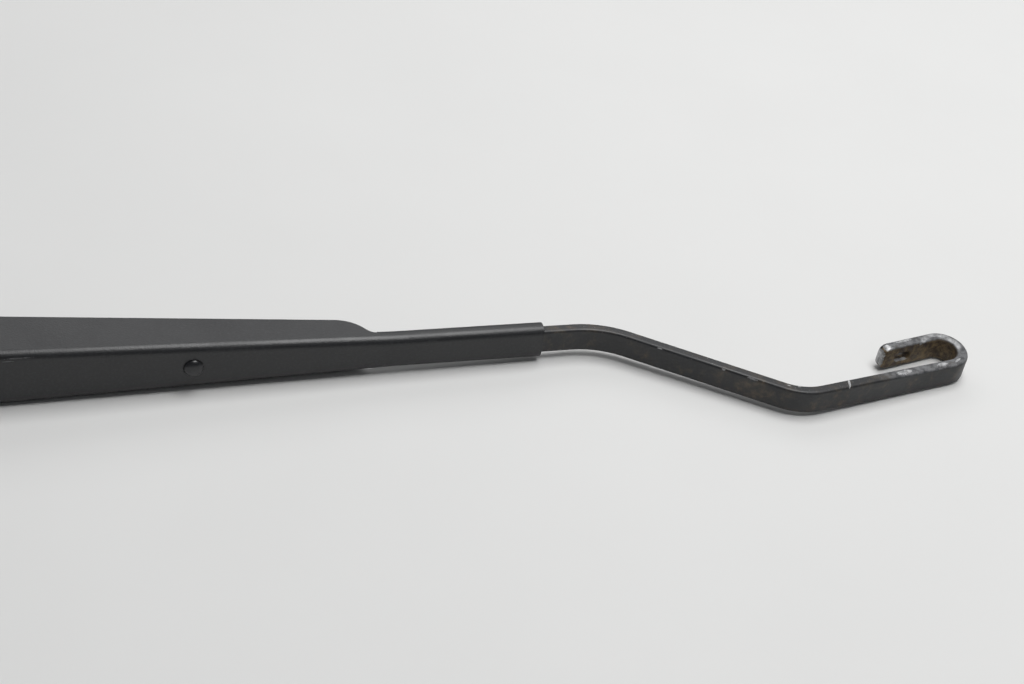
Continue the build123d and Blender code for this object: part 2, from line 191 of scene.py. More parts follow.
def calc(tree, operation, first, second=0.0):
    """One step of arithmetic on two values."""
    step = tree.nodes.new("ShaderNodeMath")
    step.operation = operation
    feed(tree, step.inputs[0], first)
    feed(tree, step.inputs[1], second)
    return step.outputs["Value"]


# A Mix node has its sockets for numbers first, then for vectors, then for colours
COLOUR_A, COLOUR_B, COLOUR_OUT = 6, 7, 2


def mix(tree, share, first, second):
    """Colour that goes from the first to the second as the share goes from 0 to 1."""
    blend = tree.nodes.new("ShaderNodeMix")
    blend.data_type = "RGBA"
    feed(tree, blend.inputs["Factor"], share)
    feed(tree, blend.inputs[COLOUR_A], first)
    feed(tree, blend.inputs[COLOUR_B], second)
    return blend.outputs[COLOUR_OUT]


def bump(tree, shader, height, depth):
    """Raises the surface by a height pattern, whose full range is a depth in metres."""
    relief = tree.nodes.new("ShaderNodeBump")
    relief.inputs["Strength"].default_value = 1.0
    relief.inputs["Distance"].default_value = depth
    tree.links.new(height, relief.inputs["Height"])
    tree.links.new(relief.outputs["Normal"], shader.inputs["Normal"])


def ellipse(tree, place, centre, reach, degrees_turned=0.0):
    """Distance from a point, measured in the reaches of a turned ellipsoid: 1 on its surface."""
    local = tree.nodes.new("ShaderNodeMapping")
    local.vector_type = "TEXTURE"
    tree.links.new(place, local.inputs["Vector"])
    local.inputs["Location"].default_value = [c * MM for c in centre]
    local.inputs["Rotation"].default_value = (0, 0, radians(degrees_turned))
    local.inputs["Scale"].default_value = [r * MM for r in reach]
    length = tree.nodes.new("ShaderNodeVectorMath")
    length.operation = "LENGTH"
    tree.links.new(local.outputs["Vector"], length.inputs[0])
    return length.outputs["Value"]


print("finish helpers are ready")

# %% [markdown]
# ## Floor finish
# A matt, pale grey sheet with the faintest mottle, so that it reads as a surface and not as fog.
# One flat colour would do for the shadow, but it makes the picture look cut out.

# %% Floor finish
FLOOR_DARK, FLOOR_LIGHT = (0.72, 0.72, 0.71, 1), (0.76, 0.76, 0.75, 1)
floor_finish, tree, shader, place = new_finish("pale_floor")
mottle = noise(tree, place, 9.0, detail=4.0)
feed(tree, shader.inputs["Base Color"], mix(tree, mottle, FLOOR_DARK, FLOOR_LIGHT))
shader.inputs["Roughness"].default_value = 0.75
shader.inputs["Specular IOR Level"].default_value = 0.2
floor.data.materials.append(floor_finish)
print("floor finish:", floor_finish.name)

# %% [markdown]
# ## Hook bar
# The bar is a length of flat steel, 9 by 4 mm with rounded edges. Its inner end is stepped up
# into a tab for the spring, the middle lies in the channel's sleeve, and outside it kinks twice
# and curls back into the hook. A curve with a bevel would also give a bent strip, but bending it
# the way the factory does is clearer: one end face is pushed along each straight run by extrude
# and turned through each bend by spin, so every bend has its true radius. Two points that are closer
# than TOUCH, in metres, count as one place.

# %% Hook bar: helpers to pick and bend
TOUCH = 1e-6
BEND_STEP = 5.0
FEWEST_STEPS = 6


def open_edit(piece):
    """Makes one piece active and opens it in edit mode with nothing picked."""
    deselect_all()
    piece.select_set(True)
    bpy.context.view_layer.objects.active = piece
    bpy.ops.object.mode_set(mode="EDIT")
    bpy.ops.mesh.select_all(action="DESELECT")


def pick(piece, kind, wanted):
    """Picks the verts, edges or faces that pass a test, in edit mode, and says how many."""
    bpy.ops.mesh.select_mode(type={"verts": "VERT", "edges": "EDGE", "faces": "FACE"}[kind])
    mesh = bmesh.from_edit_mesh(piece.data)
    for element in list(mesh.faces) + list(mesh.edges) + list(mesh.verts):
        element.select_set(False)
    found = 0
    for element in getattr(mesh, kind):
        if wanted(element):
            element.select_set(True)
            found += 1
    mesh.select_flush_mode()
    bmesh.update_edit_mesh(piece.data)
    return found


def apply_modifier(piece, kind, **settings):
    """Adds one modifier to a piece, sets it and applies it."""
    deselect_all()
    piece.select_set(True)
    bpy.context.view_layer.objects.active = piece
    modifier = piece.modifiers.new(kind.lower(), kind)
    for key, value in settings.items():
        setattr(modifier, key, value)
    bpy.ops.object.modifier_apply(modifier=modifier.name)


def bend_along(piece, start, heading, route):
    """Pushes the picked end face along runs and bends, and gives the end point and heading."""
    at, angle = Vector(start), radians(heading)
    for step in route:
        if step[0] == "run":
            move = Vector((cos(angle), sin(angle), 0)) * step[1] * MM
            bpy.ops.mesh.extrude_region_move(TRANSFORM_OT_translate={"value": move})
            at = at + move
        else:
            radius, degrees_turned = step[1] * MM, step[2]
            side = 1 if degrees_turned > 0 else -1
            centre = at + Vector((-sin(angle), cos(angle), 0)) * radius * side
            steps = max(FEWEST_STEPS, int(abs(degrees_turned) / BEND_STEP))
            bpy.ops.mesh.spin(steps=steps, angle=-radians(degrees_turned), center=centre, axis=(0, 0, 1))
            at = centre + Matrix.Rotation(radians(degrees_turned), 3, "Z") @ (at - centre)
            angle += radians(degrees_turned)
    return at, angle


print("picking and bending helpers are ready")

# %% [markdown]
# ## Hook bar: bending the strip
# The strip starts as a plane of the bar's section at the spring's tab. The joggle from the tab across to
# the web could be typed in as points, but it is worked out from its own radius and angle, so that the
# straight run always lies flat on the web. The hook is two bends of about a right angle each, the second
# one tighter than the first. Each bend below is a radius in millimetres and a turn in degrees.

# %% Hook bar: bend the strip
BAR_WIDTH, BAR_THICK, BAR_EDGE = 9.0, 4.0, 1.0
RUN_START_X, RUN_END_X = 172.5, 307.0
BAR_Y, TAB_Y, TAB_LENGTH = -6.8, -2.4, 8.0
JOGGLE_RADIUS, JOGGLE_ANGLE = 6.0, 40.0
LIFT_BEND, FALL_BEND = (30.9, -35.8), (18.1, 44.5)
HOOK_BENDS = [(8.4, 91.0), (6.4, 91.0)]
RISE, STRAND, RETURN = 55.6, 55.4, 22.8

joggle_turn = radians(JOGGLE_ANGLE)
joggle_run = (TAB_Y - BAR_Y - 2 * JOGGLE_RADIUS * (1 - cos(joggle_turn))) / sin(joggle_turn)
joggle_reach = 2 * JOGGLE_RADIUS * sin(joggle_turn) + joggle_run * cos(joggle_turn)
tab_start_x = RUN_START_X - joggle_reach - TAB_LENGTH
route = [
    ("run", TAB_LENGTH), ("bend", JOGGLE_RADIUS, -JOGGLE_ANGLE),
    ("run", joggle_run), ("bend", JOGGLE_RADIUS, JOGGLE_ANGLE),
    ("run", RUN_END_X - RUN_START_X), ("bend", *LIFT_BEND),
    ("run", RISE), ("bend", *FALL_BEND),
    ("run", STRAND), ("bend", *HOOK_BENDS[0]), ("bend", *HOOK_BENDS[1]),
    ("run", RETURN),
]

deselect_all()
start = Vector((tab_start_x, TAB_Y, 0)) * MM
bpy.ops.mesh.primitive_plane_add(size=1.0, location=start, rotation=(0, pi / 2, 0))
hook_bar = bpy.context.object
hook_bar.name = "hook_bar"
bpy.ops.object.transform_apply(location=True, rotation=True, scale=True)
open_edit(hook_bar)
bpy.ops.mesh.select_all(action="SELECT")
bpy.ops.transform.resize(value=(1, BAR_THICK * MM, BAR_WIDTH * MM), center_override=start)
tip_at, tip_angle = bend_along(hook_bar, start, 0.0, route)
bpy.ops.mesh.select_all(action="SELECT")
bpy.ops.mesh.remove_doubles(threshold=TOUCH)
bpy.ops.mesh.normals_make_consistent(inside=False)
bpy.ops.object.mode_set(mode="OBJECT")
print("bar ends at mm", [round(v / MM, 2) for v in tip_at], "heading", round(degrees(tip_angle), 1))

# %% [markdown]
# ## Hook bar: edges, tip and holes
# The tip is cropped with rounded corners, so the two short edges there are bevelled first. Rolled flat
# bar has rounded edges, so a finer bevel then goes along every sharp edge. The slot for the blade's catch
# and the two holes inside the channel are cut last, with boolean cutters, so that their rims stay crisp.

# %% Hook bar: edges, tip and holes
TIP_CORNER = 2.8
SLOT_LENGTH, SLOT_WIDTH, SLOT_FROM_TIP = 7.6, 3.8, 8.8
RIVET_X, RIVET_SHANK = 177.5, 2.0
TAB_HOLE_FROM_END, TAB_HOLE_RADIUS = 5.0, 1.25
DRILL_DEPTH = 3 * BAR_THICK
HOLE_FACETS, CORNER_STEPS, EDGE_STEPS = 40, 6, 4
EDGE_FROM = radians(40)


def cut_away(piece, cutter):
    """Takes a cutter's shape out of a piece and deletes the cutter."""
    apply_modifier(piece, "BOOLEAN", operation="DIFFERENCE", solver="EXACT", object=cutter)
    bpy.data.objects.remove(cutter)


def round_cutter(place, axis, radius, depth, reach=0.0, reach_along=None):
    """A drill for a round hole, or a cutter for an obround slot where it has a reach."""
    deselect_all()
    bpy.ops.mesh.primitive_cylinder_add(vertices=HOLE_FACETS, radius=radius * MM, depth=depth * MM)
    cutter = bpy.context.object
    open_edit(cutter)
    if reach:
        pick(cutter, "verts", lambda v: v.co.x > -TOUCH)
        bpy.ops.transform.translate(value=(reach * MM, 0, 0))
        bpy.ops.mesh.select_all(action="SELECT")
        bpy.ops.transform.translate(value=(-reach * MM / 2, 0, 0))
    bpy.ops.object.mode_set(mode="OBJECT")
    z_axis = Vector(axis).normalized()
    x_axis = Vector(reach_along).normalized() if reach_along else z_axis.orthogonal().normalized()
    frame_axes = Matrix((x_axis, z_axis.cross(x_axis), z_axis)).transposed().to_4x4()
    cutter.matrix_world = Matrix.Translation([c * MM for c in place]) @ frame_axes
    bpy.context.view_layer.update()
    return cutter


def is_tip_corner(edge):
    """Whether an edge is one of the two on the bar's cut end that run through its thickness."""
    near = all((v.co - tip_at).length < BAR_WIDTH * MM for v in edge.verts)
    on_end = all(abs((v.co - tip_at).dot(along)) < TOUCH for v in edge.verts)
    return near and on_end and abs(edge.verts[0].co.z - edge.verts[1].co.z) < TOUCH


along = Vector((cos(tip_angle), sin(tip_angle), 0))
across_strip = Vector((-sin(tip_angle), cos(tip_angle), 0))
open_edit(hook_bar)
corners = pick(hook_bar, "edges", is_tip_corner)
bpy.ops.mesh.bevel(offset=TIP_CORNER * MM, segments=CORNER_STEPS, affect="EDGES")
bpy.ops.object.mode_set(mode="OBJECT")
apply_modifier(hook_bar, "BEVEL", width=BAR_EDGE * MM, segments=EDGE_STEPS, limit_method="ANGLE",
               angle_limit=EDGE_FROM)
slot_at = tip_at / MM - along * SLOT_FROM_TIP
tab_hole_x = tab_start_x + TAB_HOLE_FROM_END
cut_away(hook_bar, round_cutter(slot_at, across_strip, SLOT_WIDTH / 2, DRILL_DEPTH,
                                reach=SLOT_LENGTH - SLOT_WIDTH, reach_along=along))
cut_away(hook_bar, round_cutter((RIVET_X, BAR_Y, 0), (0, 1, 0), RIVET_SHANK, DRILL_DEPTH))
cut_away(hook_bar, round_cutter((tab_hole_x, TAB_Y, 0), (0, 1, 0), TAB_HOLE_RADIUS, DRILL_DEPTH))
print("tip corners:", corners, "faces:", len(hook_bar.data.polygons))

# %% [markdown]
# ## Channel
# The channel is one blank of 1.2 mm sheet. Its web and two side walls taper towards the bar, the
# walls get lower, and past a rounded shoulder their edges are folded right round the bar into a
# flat sleeve with a seam underneath. Here the outer skin is shaped first from a block: loops are
# cut across it with bisect, the narrow end is squeezed, the free edge is lowered station by
# station, and the faces that are open on the real one are deleted. The sleeve's lips are folded in
# by extruding the walls' edges round an arc, the web's folds are rounded with a bevel, and
# Solidify gives the skin its thickness inwards. Points are picked by their place, with a margin.

# %% Channel: block and taper
SHEET, FOLD_RADIUS = 1.2, 2.8
WALL_END_X, TAPER_X, NARROW_X = 39.5, 72.0, 244.2
SHOULDER_START_X, SHOULDER_X, MOUTH_X = 225.0, 234.6, 295.5
WEB_Y, FREE_EDGE_Y, SHOULDER_Y, SLEEVE_Y = -10.0, 13.0, 1.9, -3.6
HALF_CHANNEL, HALF_SLEEVE = 11.6, 6.3
BLEND_X, BLEND_Y, BLEND_STEPS = 237.6, -5.5, 5
LIP_STEP = 0.6
LIP_X, LIP_Y = BLEND_X + LIP_STEP, SLEEVE_Y - FOLD_RADIUS
SHOULDER_STEPS = 10
PICK_MARGIN = 1.0

middle = Vector(((WALL_END_X + MOUTH_X) / 2, (WEB_Y + FREE_EDGE_Y) / 2, 0)) * MM
deselect_all()
bpy.ops.mesh.primitive_cube_add(size=1.0, location=middle)
folded_channel = bpy.context.object
folded_channel.name = "folded_channel"
bpy.ops.object.transform_apply(location=True, rotation=True, scale=True)
open_edit(folded_channel)
bpy.ops.mesh.select_all(action="SELECT")
block = Vector((MOUTH_X - WALL_END_X, FREE_EDGE_Y - WEB_Y, 2 * HALF_CHANNEL)) * MM
bpy.ops.transform.resize(value=block, center_override=middle)


def cut_loop(x):
    """Cuts a loop across everything at one station along the arm."""
    bpy.ops.mesh.select_all(action="SELECT")
    bpy.ops.mesh.bisect(plane_co=(x * MM, 0, 0), plane_no=(1, 0, 0))


cut_loop(TAPER_X)
cut_loop(NARROW_X)
pick(folded_channel, "verts", lambda v: v.co.x > (NARROW_X - PICK_MARGIN) * MM)
bpy.ops.transform.resize(value=(1, 1, HALF_SLEEVE / HALF_CHANNEL), center_override=(NARROW_X * MM, 0, 0))
print("block in mm:", [round(side / MM, 1) for side in block])
print("squeezed to", 2 * HALF_SLEEVE, "mm past station", NARROW_X)

# %% [markdown]
# ## Channel: the walls' free edge
# The free edge runs straight down the taper, rounds the shoulder in one arc that starts in line
# with the taper, runs out in a hollow curve, and then steps down to where the lips of the sleeve
# begin to bend.

# %% Channel: free edge
taper_slope = atan2(SHOULDER_Y - FREE_EDGE_Y, SHOULDER_START_X - TAPER_X)
chord = Vector((SHOULDER_X - SHOULDER_START_X, SLEEVE_Y - SHOULDER_Y))
half_turn = taper_slope - atan2(chord.y, chord.x)
shoulder_radius = chord.length / (2 * sin(half_turn))
shoulder_centre = Vector((SHOULDER_START_X + sin(taper_slope) * shoulder_radius,
                          SHOULDER_Y - cos(taper_slope) * shoulder_radius))


def free_edge(x):
    """Height of the walls' free edge at one station."""
    if x <= TAPER_X:
        return FREE_EDGE_Y
    if x <= SHOULDER_START_X:
        return FREE_EDGE_Y + tan(taper_slope) * (x - TAPER_X)
    if x <= SHOULDER_X:
        return shoulder_centre.y + sqrt(shoulder_radius ** 2 - (x - shoulder_centre.x) ** 2)
    if x <= BLEND_X:
        return BLEND_Y + (SLEEVE_Y - BLEND_Y) * ((BLEND_X - x) / (BLEND_X - SHOULDER_X)) ** 2
    return LIP_Y


def evenly(first, last, steps):
    """Stations from after the first one to the last one."""
    return [first + (last - first) * step / steps for step in range(1, steps + 1)]


def on_free_edge(vert, x):
    """Whether a vertex of the block lies on the walls' free edge at one station."""
    return abs(vert.co.x - x * MM) < TOUCH and vert.co.y > (FREE_EDGE_Y - PICK_MARGIN) * MM


stations = [SHOULDER_START_X] + evenly(SHOULDER_START_X, SHOULDER_X, SHOULDER_STEPS)
stations += evenly(SHOULDER_X, BLEND_X, BLEND_STEPS) + [LIP_X]
for x in stations:
    cut_loop(x)
for x in stations + [NARROW_X, MOUTH_X]:
    pick(folded_channel, "verts", lambda v: on_free_edge(v, x))
    bpy.ops.transform.translate(value=(0, (free_edge(x) - FREE_EDGE_Y) * MM, 0))
print("shoulder radius:", round(shoulder_radius, 2), "mm, over", len(stations), "stations")

# %% [markdown]
# ## Channel: open faces, lips and folds
# The real channel is open at both ends and underneath, so those faces of the block go. Each lip of the
# sleeve is then folded over the bar: its edge goes round a quarter circle in small steps, and the last
# step takes it flat to the seam. A bevel could round these folds too, but it tears the sheet where a
# fold stops at the shoulder. The web's two folds run the whole length, and there a bevel is clean.

# %% Channel: open faces, lips and folds
SEAM_GAP = 0.6
WALL_CORNER, WALL_CORNER_STEPS = 7.0, 8
FOLD_STEPS = 8
FOLD_FROM = radians(60)
END_FACING, UNDERSIDE_FACING = 0.99, 0.1


def is_open(face):
    """Whether a face of the block is one of its ends or part of its underside."""
    return abs(face.normal.x) > END_FACING or face.normal.y > UNDERSIDE_FACING


def fold_lip(side):
    """Bends one wall's edge in over the bar, and takes it flat to the seam."""
    found = pick(folded_channel, "edges", lambda e: all(
        abs(v.co.y - LIP_Y * MM) < TOUCH and v.co.z * side > 0 for v in e.verts))
    for step in range(FOLD_STEPS):
        before, after = pi / 2 * step / FOLD_STEPS, pi / 2 * (step + 1) / FOLD_STEPS
        rise = FOLD_RADIUS * (sin(after) - sin(before))
        inwards = FOLD_RADIUS * (cos(before) - cos(after))
        move = (0, rise * MM, -side * inwards * MM)
        bpy.ops.mesh.extrude_region_move(TRANSFORM_OT_translate={"value": move})
    bpy.ops.mesh.extrude_region_move()
    bpy.ops.transform.resize(value=(1, 1, 0), center_override=(0, 0, side * SEAM_GAP / 2 * MM))
    return found


def is_wall_corner(vert):
    """Whether a vertex is a free corner of the walls at the hinge end."""
    return vert.co.x < (WALL_END_X + PICK_MARGIN) * MM and vert.co.y > (FREE_EDGE_Y - PICK_MARGIN) * MM


def is_fold(edge):
    """Whether an edge lies between two faces that stand steeply to each other."""
    return len(edge.link_faces) == 2 and edge.calc_face_angle(0.0) > FOLD_FROM


pick(folded_channel, "faces", is_open)
bpy.ops.mesh.delete(type="FACE")
print("edges folded into lips:", fold_lip(1), fold_lip(-1))
pick(folded_channel, "verts", is_wall_corner)
bpy.ops.mesh.bevel(offset=WALL_CORNER * MM, segments=WALL_CORNER_STEPS, affect="VERTICES")
folds = pick(folded_channel, "edges", is_fold)
bpy.ops.mesh.bevel(offset=FOLD_RADIUS * MM, segments=FOLD_STEPS, affect="EDGES")
bpy.ops.mesh.select_all(action="SELECT")
bpy.ops.mesh.remove_doubles(threshold=TOUCH)
bpy.ops.mesh.normals_make_consistent(inside=False)
bpy.ops.object.mode_set(mode="OBJECT")
print("folds:", folds, "faces in the skin:", len(folded_channel.data.polygons))

# %% [markdown]
# ## Channel: thickness, hinge ears and holes
# With its thickness on, the web is cut back between the walls, so that the arm can be lifted past
# the head. The two wall ends are rounded about the hinge by cutting away what lies outside a circle,
# and the hinge and rivet holes are drilled. A very small bevel then takes the sharpness off the
# sheared edges, as the paint does on the real one. The crumbs of edges that the cuts leave are merged
# before it, and it passes by two tight inner corners, because a bevel tangles where it has no room.

# %% Channel: thickness, ears and holes
HINGE = (50.0, -1.5)
EAR_RADIUS = 10.5
PIN_RADIUS = 3.0
SHEARED_EDGE, SHEARED_STEPS, SHEARED_FROM = 0.22, 2, radians(45)
CUT_CRUMB = 0.15
WEB_CUT_MARGIN = (1.0, 0.2, 0.02)
LIP_MARGIN = 0.1
OVERCUT = 1.0
WEB_START_X = 52.0
half_inside = HALF_CHANNEL - SHEET


def stays_sharp(point):
    """Whether a point lies on the cut of the web or at the start of the lips."""
    x, y, z = point / MM
    low_down = x < WEB_START_X + WEB_CUT_MARGIN[0] and y < WEB_Y + FOLD_RADIUS + WEB_CUT_MARGIN[1]
    at_web = low_down and abs(z) < half_inside + WEB_CUT_MARGIN[2]
    return at_web or BLEND_X - LIP_MARGIN < x < LIP_X + LIP_MARGIN


def is_sheared(edge):
    """Whether an edge is sharp and has room for a bevel."""
    return edge.calc_face_angle(0.0) > SHEARED_FROM and not all(stays_sharp(v.co) for v in edge.verts)


def box_cutter(low, high):
    """A block for cutting, between two corners."""
    deselect_all()
    bpy.ops.mesh.primitive_cube_add(size=1.0)
    cutter = bpy.context.object
    open_edit(cutter)
    bpy.ops.mesh.select_all(action="SELECT")
    bpy.ops.transform.resize(value=[(b - a) * MM for a, b in zip(low, high)], center_override=(0, 0, 0))
    bpy.ops.transform.translate(value=[(a + b) / 2 * MM for a, b in zip(low, high)])
    bpy.ops.object.mode_set(mode="OBJECT")
    return cutter


apply_modifier(folded_channel, "SOLIDIFY", thickness=SHEET * MM, offset=-1.0, use_even_offset=True,
               use_quality_normals=True)
far_side = 2 * HALF_CHANNEL
cut_away(folded_channel, box_cutter((WALL_END_X - OVERCUT, WEB_Y - OVERCUT, -half_inside),
                                    (WEB_START_X, WEB_Y + FOLD_RADIUS, half_inside)))
ear_cutter = box_cutter((WALL_END_X - OVERCUT, WEB_Y - 2 * OVERCUT, -far_side), (*HINGE, far_side))
cut_away(ear_cutter, round_cutter((*HINGE, 0), (0, 0, 1), EAR_RADIUS, 2 * far_side))
cut_away(folded_channel, ear_cutter)
cut_away(folded_channel, round_cutter((*HINGE, 0), (0, 0, 1), PIN_RADIUS, 2 * far_side))
cut_away(folded_channel, round_cutter((RIVET_X, WEB_Y, 0), (0, 1, 0), RIVET_SHANK, 4 * SHEET))
open_edit(folded_channel)
bpy.ops.mesh.select_all(action="SELECT")
bpy.ops.mesh.remove_doubles(threshold=CUT_CRUMB * MM)
sheared = pick(folded_channel, "edges", is_sheared)
bpy.ops.mesh.bevel(offset=SHEARED_EDGE * MM, segments=SHEARED_STEPS, affect="EDGES")
bpy.ops.object.mode_set(mode="OBJECT")
print("sheared edges:", sheared, "channel faces:", len(folded_channel.data.polygons))

# %% [markdown]
# ## Rivet
# One rivet holds the bar in the channel: a low dome outside the web and a flattened tail inside.
# It starts as a filled circle on the web, and each ring of the dome is one extrude and one resize,
# with the last ring closed by the face that is left. Half a flattened sphere would give the dome as
# well, but the shank and tail would then be separate shapes to join to it.

# %% Rivet
RIVET_HEAD, RIVET_DOME, RIVET_TAIL = 3.3, 1.7, 1.2
TAIL_STEP = 0.02
RIVET_EDGE, RIVET_EDGE_STEPS = 0.15, 2
DOME_RINGS = 8
DOME_SWEEP = radians(86)
RIVET_FACETS = 56

rivet_foot = Vector((RIVET_X, WEB_Y, 0)) * MM
deselect_all()
bpy.ops.mesh.primitive_circle_add(vertices=RIVET_FACETS, radius=RIVET_HEAD * MM, fill_type="NGON",
                                  location=rivet_foot, rotation=(pi / 2, 0, 0))
dome_rivet = bpy.context.object
dome_rivet.name = "dome_rivet"
bpy.ops.object.transform_apply(location=True, rotation=True, scale=True)
open_edit(dome_rivet)
bpy.ops.mesh.select_all(action="SELECT")


def push(from_y, to_y, radius_ratio):
    """Extrudes the picked face along Y, scales it about the rivet's axis and gives its new place."""
    bpy.ops.mesh.extrude_region_move(TRANSFORM_OT_translate={"value": (0, (to_y - from_y) * MM, 0)})
    axis_point = (RIVET_X * MM, to_y * MM, 0)
    bpy.ops.transform.resize(value=(radius_ratio, 1, radius_ratio), center_override=axis_point)
    return to_y


def is_head_seat(face):
    """Whether a face is the round one on the web, under the rivet's head."""
    return len(face.verts) == RIVET_FACETS and face.calc_center_median().y > (WEB_Y - PICK_MARGIN) * MM


reached_y, radius = WEB_Y, RIVET_HEAD
for ring in range(1, DOME_RINGS + 1):
    turned = DOME_SWEEP * ring / DOME_RINGS
    next_radius = RIVET_HEAD * cos(turned)
    reached_y = push(reached_y, WEB_Y - RIVET_DOME * sin(turned), next_radius / radius)
    radius = next_radius
bpy.ops.mesh.select_all(action="DESELECT")
pick(dome_rivet, "faces", is_head_seat)
bpy.ops.mesh.inset(thickness=(RIVET_HEAD - RIVET_SHANK) * MM)
tail_y = BAR_Y + BAR_THICK / 2
reached_y = push(WEB_Y, tail_y, 1.0)
reached_y = push(reached_y, tail_y + TAIL_STEP, RIVET_HEAD / RIVET_SHANK)
push(reached_y, tail_y + RIVET_TAIL, RIVET_SHANK / RIVET_HEAD)
bpy.ops.mesh.select_all(action="SELECT")
bpy.ops.mesh.normals_make_consistent(inside=False)
bpy.ops.object.mode_set(mode="OBJECT")
apply_modifier(dome_rivet, "BEVEL", width=RIVET_EDGE * MM, segments=RIVET_EDGE_STEPS, limit_method="ANGLE",
               angle_limit=EDGE_FROM)
print("rivet faces:", len(dome_rivet.data.polygons))

# %% [markdown]
# ## Castings, mouldings and fittings
# The head, its cap, the pins, bushes, link and spring already have their true shape in the CAD
# model, but with knife-sharp edges. A copy of each is merged into one skin, its flat triangles are
# joined, and a bevel as wide as that process leaves takes the outer edges off: most on the die
# casting, less on the moulded cap, and hardly any on ground or drawn steel. On the head it stops short
# of the hinge and on the cap short of its trunnions, where small edges crowd together and a bevel would
# tangle. The spring's wire is round and gets none.

# %% Castings, mouldings and fittings
MERGE_DISTANCE = 2e-6
SHARP_FROM, FLAT_UP_TO = radians(35), radians(1)
PAST_THE_TIP = 1000.0


def softened_copy(node, name, width, segments=2, up_to_x=PAST_THE_TIP):
    """A copy of a CAD node as one merged skin, with its outer edges rounded as far as one station."""
    piece = bpy.data.objects.new(name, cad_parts[node].data.copy())
    bpy.context.scene.collection.objects.link(piece)
    piece.data.materials.clear()
    open_edit(piece)
    bpy.ops.mesh.customdata_custom_splitnormals_clear()
    bpy.ops.mesh.select_all(action="SELECT")
    bpy.ops.mesh.remove_doubles(threshold=MERGE_DISTANCE)
    bpy.ops.mesh.dissolve_limited(angle_limit=FLAT_UP_TO)
    if width:
        pick(piece, "edges", lambda e: e.is_convex and e.calc_face_angle(0.0) > SHARP_FROM
             and all(v.co.x < up_to_x * MM for v in e.verts))
        bpy.ops.mesh.bevel(offset=width * MM, segments=segments, affect="EDGES")
        bpy.ops.mesh.select_all(action="SELECT")
        bpy.ops.mesh.remove_doubles(threshold=MERGE_DISTANCE)
    bpy.ops.object.mode_set(mode="OBJECT")
    return piece


spindle_head = softened_copy("arm_head", "spindle_head", width=0.4, segments=3, up_to_x=42.0)
cap_moulding = softened_copy("nut_cap", "cap_moulding", width=0.3, segments=3, up_to_x=32.0)
upper_bush = softened_copy("hinge_bush_upper", "upper_bush", width=0.15)
lower_bush = softened_copy("hinge_bush_lower", "lower_bush", width=0.15)
riveted_pin = softened_copy("hinge_pin", "riveted_pin", width=0.12)
link_pin = softened_copy("anchor_pin", "link_pin", width=0.2)
hooked_link = softened_copy("spring_link", "hooked_link", width=0.15)
coil_spring = softened_copy("tension_spring", "coil_spring", width=0.0)
for piece in (spindle_head, cap_moulding, upper_bush, lower_bush, riveted_pin, link_pin, hooked_link,
              coil_spring):
    print(piece.name, len(piece.data.polygons), "faces")

# %% [markdown]
# ## Satin black paint
# The steel is dipped and stoved in a satin black. Close up the film is not even: it has a fine
# orange peel, soft differences in sheen where it was handled, and a little dust in the grain.
# One function makes the paint, and it takes small functions that draw masks: where the film is hazed with
# dirt, and where it is chipped or rubbed down to the steel. On the bar that steel mask also lays one painted
# highlight.

# %% Paint
PAINT = (0.010, 0.0105, 0.012, 1)
PAINT_DUSTY = (0.024, 0.025, 0.028, 1)
PAINT_RUBBED = (0.165, 0.167, 0.172, 1)
STEEL_DULL = (0.26, 0.26, 0.26, 1)
STEEL_BRIGHT = (0.58, 0.585, 0.59, 1)
ROAD_DIRT = (0.055, 0.036, 0.022, 1)
ROAD_DIRT_PALE = (0.23, 0.165, 0.085, 1)
PAINT_SPECULAR = 0.6
DIRT_ROUGHNESS = 0.75
STEEL_METAL, STEEL_ROUGHNESS = 0.7, 0.5
CHIP_DEPTH = 3.0


def satin_paint(name, gloss, peel_per_metre, peel_depth, hazed=None, rubbed=None, bared_and_highlit=None):
    """Satin black paint, with masks for road dirt, for rubbed film and for bare steel, which can also carry
    a painted highlight.
    """
    finish, tree, shader, place = new_finish(name)
    handled = noise(tree, place, 45.0, detail=5.0, rough=0.6)
    dust = spread(tree, noise(tree, place, 1100.0, detail=2.0), 0.42, 0.75)
    peel = noise(tree, place, peel_per_metre, detail=2.0, rough=0.5)
    colour = mix(tree, calc(tree, "MULTIPLY", dust, handled), PAINT, PAINT_DUSTY)
    sheen = spread(tree, handled, 0.3, 0.7, gloss[0], gloss[1])
    height = peel
    if hazed:
        haze = hazed(tree, place)
        crust = spread(tree, noise(tree, place, 420.0, detail=6.0, rough=0.7), 0.36, 0.66)
        colour = mix(tree, haze, colour, mix(tree, crust, ROAD_DIRT, ROAD_DIRT_PALE))
        sheen = calc(tree, "MAXIMUM", sheen, calc(tree, "MULTIPLY", haze, DIRT_ROUGHNESS))
    if rubbed:
        colour = mix(tree, rubbed(tree, place), colour, PAINT_RUBBED)
    if bared_and_highlit:
        # On the bar this mask also lays bright steel colour on the slot's lower wall, as a painted
        # highlight.
        bare = bared_and_highlit(tree, place)
        brushed = noise(tree, place, 600.0, detail=5.0, rough=0.7)
        steel = mix(tree, spread(tree, brushed, 0.35, 0.65), STEEL_DULL, STEEL_BRIGHT)
        colour = mix(tree, bare, colour, steel)
        feed(tree, shader.inputs["Metallic"], calc(tree, "MULTIPLY", bare, STEEL_METAL))
        sheen = calc(tree, "MAXIMUM", sheen, calc(tree, "MULTIPLY", bare, STEEL_ROUGHNESS))
        height = calc(tree, "SUBTRACT", peel, calc(tree, "MULTIPLY", bare, CHIP_DEPTH))
    feed(tree, shader.inputs["Base Color"], colour)
    feed(tree, shader.inputs["Roughness"], sheen)
    shader.inputs["Specular IOR Level"].default_value = PAINT_SPECULAR
    bump(tree, shader, height, peel_depth)
    return finish


def height_across(tree, place):
    """How far a point is from the arm's centre plane, in metres."""
    parts = tree.nodes.new("ShaderNodeSeparateXYZ")
    tree.links.new(place, parts.inputs["Vector"])
    return calc(tree, "ABSOLUTE", parts.outputs["Z"])


